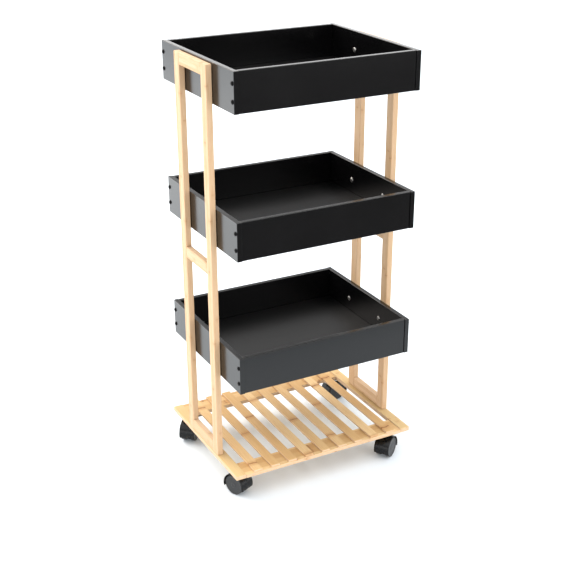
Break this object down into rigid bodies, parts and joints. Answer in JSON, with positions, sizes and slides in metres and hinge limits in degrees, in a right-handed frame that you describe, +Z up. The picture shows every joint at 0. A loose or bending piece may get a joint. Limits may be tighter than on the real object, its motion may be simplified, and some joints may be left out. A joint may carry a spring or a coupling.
{
  "type": "rolling utility cart",
  "caption": "Narrow rolling cart: bamboo side frames on a slatted deck with swivel casters, carrying stacked open black trays between the frames.",
  "frame": {"origin": "on the floor under the middle of the deck", "axes": "+X to the cart's right seen from the front, +Y from front to back, +Z up"},
  "size_m": [0.3992, 0.3046, 0.806],
  "materials": {
    "bamboo": "clear-lacquered light bamboo, satin",
    "black_lacquer": "black lacquered board, satin",
    "black_plastic": "moulded black nylon",
    "steel": "zinc-plated pressed steel"
  },
  "bodies": {
    "cart": {"left_front_post": "bamboo", "left_back_post": "bamboo", "left_top_rail": "bamboo", "left_middle_rung": "bamboo", "left_foot_rail": "bamboo", "right_front_post": "bamboo", "right_back_post": "bamboo", "right_top_rail": "bamboo", "right_middle_rung": "bamboo", "right_foot_rail": "bamboo", "deck_left_end_board": "bamboo", "deck_right_end_board": "bamboo", "deck_front_batten": "bamboo", "deck_back_batten": "bamboo", "deck_slat_1": "bamboo", "deck_slat_2": "bamboo", "deck_slat_3": "bamboo", "deck_slat_4": "bamboo", "deck_slat_5": "bamboo", "deck_slat_6": "bamboo", "deck_slat_7": "bamboo", "deck_slat_8": "bamboo", "deck_slat_9": "bamboo", "top_tray_left_wall": "black_lacquer", "top_tray_right_wall": "black_lacquer", "top_tray_front_wall": "black_lacquer", "top_tray_back_wall": "black_lacquer", "top_tray_floor_panel": "black_lacquer", "middle_tray_left_wall": "black_lacquer", "middle_tray_right_wall": "black_lacquer", "middle_tray_front_wall": "black_lacquer", "middle_tray_back_wall": "black_lacquer", "middle_tray_floor_panel": "black_lacquer", "bottom_tray_left_wall": "black_lacquer", "bottom_tray_right_wall": "black_lacquer", "bottom_tray_front_wall": "black_lacquer", "bottom_tray_back_wall": "black_lacquer", "bottom_tray_floor_panel": "black_lacquer", "caster_front_left_plate": "steel", "caster_front_right_plate": "steel", "caster_back_left_plate": "steel", "caster_back_right_plate": "steel"},
    "front_left_fork": {"caster_front_left_hood": "black_plastic", "caster_front_left_axle": "steel"},
    "front_left_left_wheel": {"caster_front_left_left_wheel": "black_plastic"},
    "front_left_right_wheel": {"caster_front_left_right_wheel": "black_plastic"},
    "front_right_fork": {"caster_front_right_hood": "black_plastic", "caster_front_right_axle": "steel"},
    "front_right_left_wheel": {"caster_front_right_left_wheel": "black_plastic"},
    "front_right_right_wheel": {"caster_front_right_right_wheel": "black_plastic"},
    "back_left_fork": {"caster_back_left_hood": "black_plastic", "caster_back_left_axle": "steel"},
    "back_left_left_wheel": {"caster_back_left_left_wheel": "black_plastic"},
    "back_left_right_wheel": {"caster_back_left_right_wheel": "black_plastic"},
    "back_right_fork": {"caster_back_right_hood": "black_plastic", "caster_back_right_axle": "steel"},
    "back_right_left_wheel": {"caster_back_right_left_wheel": "black_plastic"},
    "back_right_right_wheel": {"caster_back_right_right_wheel": "black_plastic"}
  },
  "joints": [
    {"name": "front_left_swivel", "type": "hinge", "parent": "cart", "child": "front_left_fork", "pos_m": [-0.161, -0.122, 0.045], "axis": [0, 0, 1], "continuous": true},
    {"name": "front_left_left_wheel_spin", "type": "hinge", "parent": "front_left_fork", "child": "front_left_left_wheel", "pos_m": [-0.17293, -0.10991, 0.02], "axis": [-0.9063, -0.4226, 0], "continuous": true},
    {"name": "front_left_right_wheel_spin", "type": "hinge", "parent": "front_left_fork", "child": "front_left_right_wheel", "pos_m": [-0.1626, -0.10509, 0.02], "axis": [-0.9063, -0.4226, 0], "continuous": true},
    {"name": "front_right_swivel", "type": "hinge", "parent": "cart", "child": "front_right_fork", "pos_m": [0.161, -0.122, 0.045], "axis": [0, 0, 1], "continuous": true},
    {"name": "front_right_left_wheel_spin", "type": "hinge", "parent": "front_right_fork", "child": "front_right_left_wheel", "pos_m": [0.15069, -0.1355, 0.02], "axis": [0.5446, -0.8387, 0], "continuous": true},
    {"name": "front_right_right_wheel_spin", "type": "hinge", "parent": "front_right_fork", "child": "front_right_right_wheel", "pos_m": [0.14448, -0.12593, 0.02], "axis": [0.5446, -0.8387, 0], "continuous": true},
    {"name": "back_left_swivel", "type": "hinge", "parent": "cart", "child": "back_left_fork", "pos_m": [-0.161, 0.122, 0.045], "axis": [0, 0, 1], "continuous": true},
    {"name": "back_left_left_wheel_spin", "type": "hinge", "parent": "back_left_fork", "child": "back_left_left_wheel", "pos_m": [-0.16747, 0.1063, 0.02], "axis": [0.7431, -0.6691, 0], "continuous": true},
    {"name": "back_left_right_wheel_spin", "type": "hinge", "parent": "back_left_fork", "child": "back_left_right_wheel", "pos_m": [-0.17594, 0.11392, 0.02], "axis": [0.7431, -0.6691, 0], "continuous": true},
    {"name": "back_right_swivel", "type": "hinge", "parent": "cart", "child": "back_right_fork", "pos_m": [0.161, 0.122, 0.045], "axis": [0, 0, 1], "continuous": true},
    {"name": "back_right_left_wheel_spin", "type": "hinge", "parent": "back_right_fork", "child": "back_right_left_wheel", "pos_m": [0.17679, 0.12826, 0.02], "axis": [-0.0349, 0.9994, 0], "continuous": true},
    {"name": "back_right_right_wheel_spin", "type": "hinge", "parent": "back_right_fork", "child": "back_right_right_wheel", "pos_m": [0.17719, 0.11686, 0.02], "axis": [-0.0349, 0.9994, 0], "continuous": true}
  ]
}
